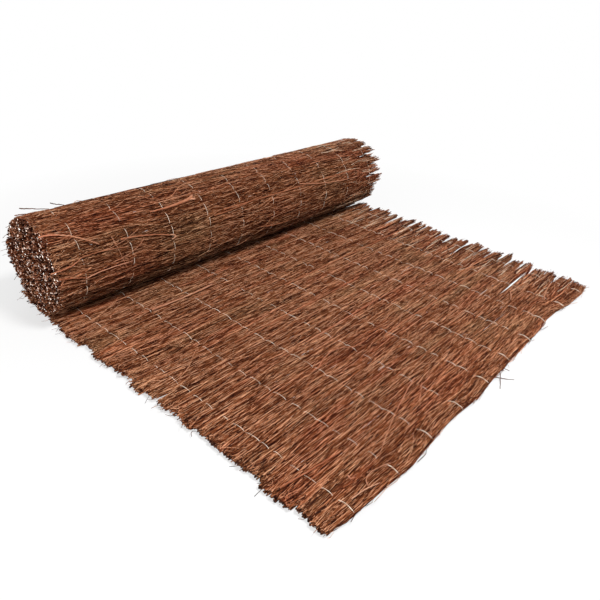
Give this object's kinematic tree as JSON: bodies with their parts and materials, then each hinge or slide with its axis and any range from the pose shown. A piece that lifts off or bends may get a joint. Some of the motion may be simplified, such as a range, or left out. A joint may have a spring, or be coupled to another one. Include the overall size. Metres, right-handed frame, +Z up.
{
  "type": "heather screen fence",
  "caption": "Roll of brushwood screening, partly unrolled: thin heather stems in a mat, bound by rows of stitched wire, with ragged edges.",
  "frame": {"origin": "on the ground, under the middle of the object's box", "axes": "+X along the stems, from the near cut edge to the far one; +Y along the mat, from its free end to the roll; +Z up"},
  "size_m": [1.0238, 0.8258, 0.2021],
  "materials": {
    "heather": "rough bark, matt",
    "coarse_stem": "smooth bark, matt",
    "wire": "galvanised, dull"
  },
  "bodies": {
    "root": {"heather_mat": "heather", "back_wire_01": "wire", "back_wire_02": "wire", "back_wire_03": "wire", "back_wire_04": "wire", "back_wire_05": "wire", "back_wire_06": "wire", "back_wire_07": "wire", "back_wire_08": "wire", "back_wire_09": "wire", "back_wire_10": "wire", "stitch_wire_01": "wire", "stitch_wire_02": "wire", "stitch_wire_03": "wire", "stitch_wire_04": "wire", "stitch_wire_05": "wire", "stitch_wire_06": "wire", "stitch_wire_07": "wire", "stitch_wire_08": "wire", "stitch_wire_09": "wire", "stitch_wire_10": "wire", "coarse_stem_01": "coarse_stem", "coarse_stem_02": "coarse_stem", "coarse_stem_03": "coarse_stem", "coarse_stem_04": "coarse_stem", "coarse_stem_05": "coarse_stem", "coarse_stem_06": "coarse_stem", "coarse_stem_07": "coarse_stem", "coarse_stem_08": "coarse_stem"}
  },
  "joints": []
}
